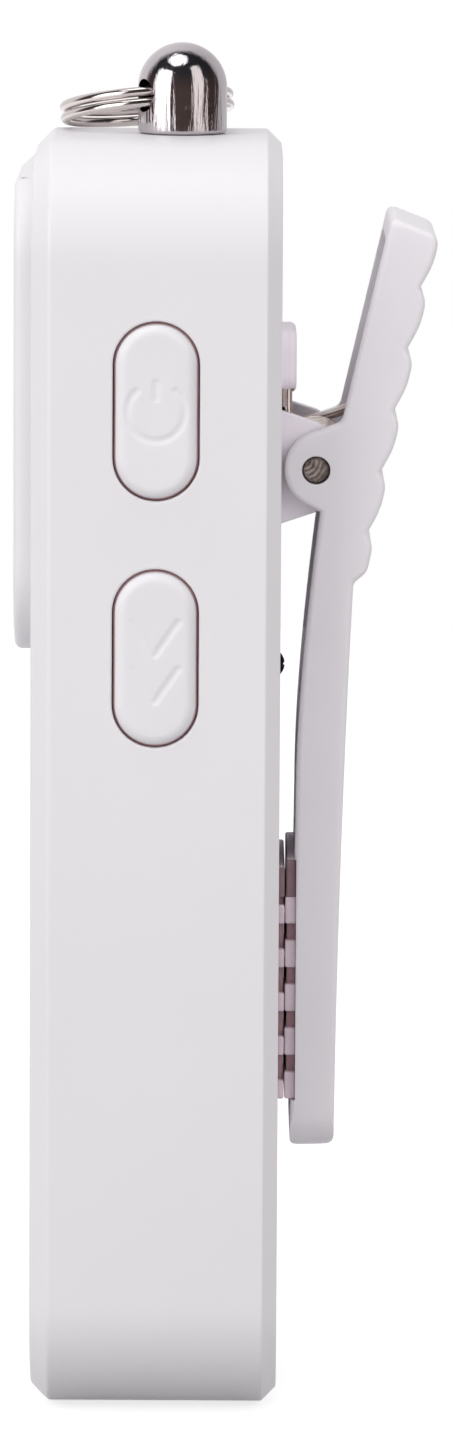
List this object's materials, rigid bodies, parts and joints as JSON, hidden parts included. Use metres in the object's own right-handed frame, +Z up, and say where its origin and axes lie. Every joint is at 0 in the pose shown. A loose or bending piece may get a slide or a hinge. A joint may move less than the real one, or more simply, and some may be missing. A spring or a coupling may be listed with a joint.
{
  "type": "personal safety alarm",
  "caption": "Slim upright personal alarm with side buttons, a front sound grille and light window, a chrome pull pin with a split ring, and a sprung clip on its back.",
  "frame": {"origin": "centre of the case's foot, on the plane it stands on", "axes": "+Z up along the case, -Y towards the sound grille, +Y towards the clip, +X towards the buttons"},
  "size_m": [0.0324, 0.033, 0.1072],
  "materials": {
    "white_shell": "satin moulded",
    "frosted_window": "frosted translucent",
    "chrome_plate": "polished",
    "spring_wire": "bright drawn",
    "pin_steel": "cut end, turned",
    "dark_steel": "dark zinc",
    "screw_steel": "zinc plated",
    "jaw_rubber": "matt soft",
    "grille_cloth": "fine weave",
    "siren_brass": "rolled",
    "siren_disc": "fired, silvered",
    "black_plastic": "fine moulded",
    "circuit_board": "lacquered laminate",
    "chip_body": "moulded",
    "ferrite": "sintered",
    "copper_wire": "lacquered",
    "gold_contact": "plated",
    "emitter_resin": "cast",
    "cell_foil": "pressed foil",
    "foam_pad": "soft foam",
    "lead_insulation": "smooth",
    "port_shell": "stamped"
  },
  "bodies": {
    "case": {"main_housing": "white_shell", "back_cover": "white_shell", "front_panel": "white_shell", "light_window": "frosted_window", "dust_screen": "grille_cloth", "siren_holder": "black_plastic", "siren_plate": "siren_brass", "siren_ceramic": "siren_disc", "siren_contacts": "gold_contact", "light_board": "circuit_board", "light_emitters": "emitter_resin", "light_leads": "lead_insulation", "main_board": "circuit_board", "board_parts": "chip_body", "boost_coil_core": "ferrite", "boost_coil_winding": "copper_wire", "control_chip": "chip_body", "power_switch": "black_plastic", "mode_switch": "black_plastic", "battery_cell": "cell_foil", "battery_pad": "foam_pad", "battery_leads": "lead_insulation", "charge_socket": "port_shell", "charge_tongue": "black_plastic", "pin_socket": "black_plastic", "pin_contacts": "gold_contact", "clip_bracket": "white_shell", "clip_screw": "dark_steel", "hinge_pin": "pin_steel", "clip_spring": "spring_wire", "case_jaw_pad": "jaw_rubber", "cover_screws": "screw_steel", "board_screws": "screw_steel"},
    "power_press_body": {"power_button": "white_shell", "power_switch_stem": "black_plastic"},
    "mode_press_body": {"mode_button": "white_shell", "mode_switch_stem": "black_plastic"},
    "pull_pin": {"pull_pin_cap": "chrome_plate", "pull_pin_plug": "black_plastic"},
    "key_ring": {"split_ring": "chrome_plate"},
    "lever": {"clip_lever": "white_shell", "arm_jaw_pad": "jaw_rubber"}
  },
  "joints": [
    {"name": "clip_open", "type": "hinge", "parent": "case", "child": "lever", "pos_m": [0, 0.01246, 0.0742], "axis": [1, 0, 0], "range_deg": [0, 18], "stiffness_Nm_per_rad": 0.35, "springref_deg": -34.38, "deforming": ["clip_spring"]},
    {"name": "power_press", "type": "slide", "parent": "case", "child": "power_press_body", "axis": [-1, 0, 0], "range_m": [0, 0.0005], "stiffness_N_per_m": 1500, "springref_m": -0.0003},
    {"name": "mode_press", "type": "slide", "parent": "case", "child": "mode_press_body", "axis": [-1, 0, 0], "range_m": [0, 0.0005], "stiffness_N_per_m": 1500, "springref_m": -0.0003},
    {"name": "pull_pin_pull", "type": "slide", "parent": "case", "child": "pull_pin", "axis": [0, 0, 1], "range_m": [0, 0.016]},
    {"name": "ring_swing", "type": "hinge", "parent": "pull_pin", "child": "key_ring", "pos_m": [0, 0.00184, 0.10305], "axis": [-0.4772, 0.8788, 0], "range_deg": [0, 190]}
  ]
}
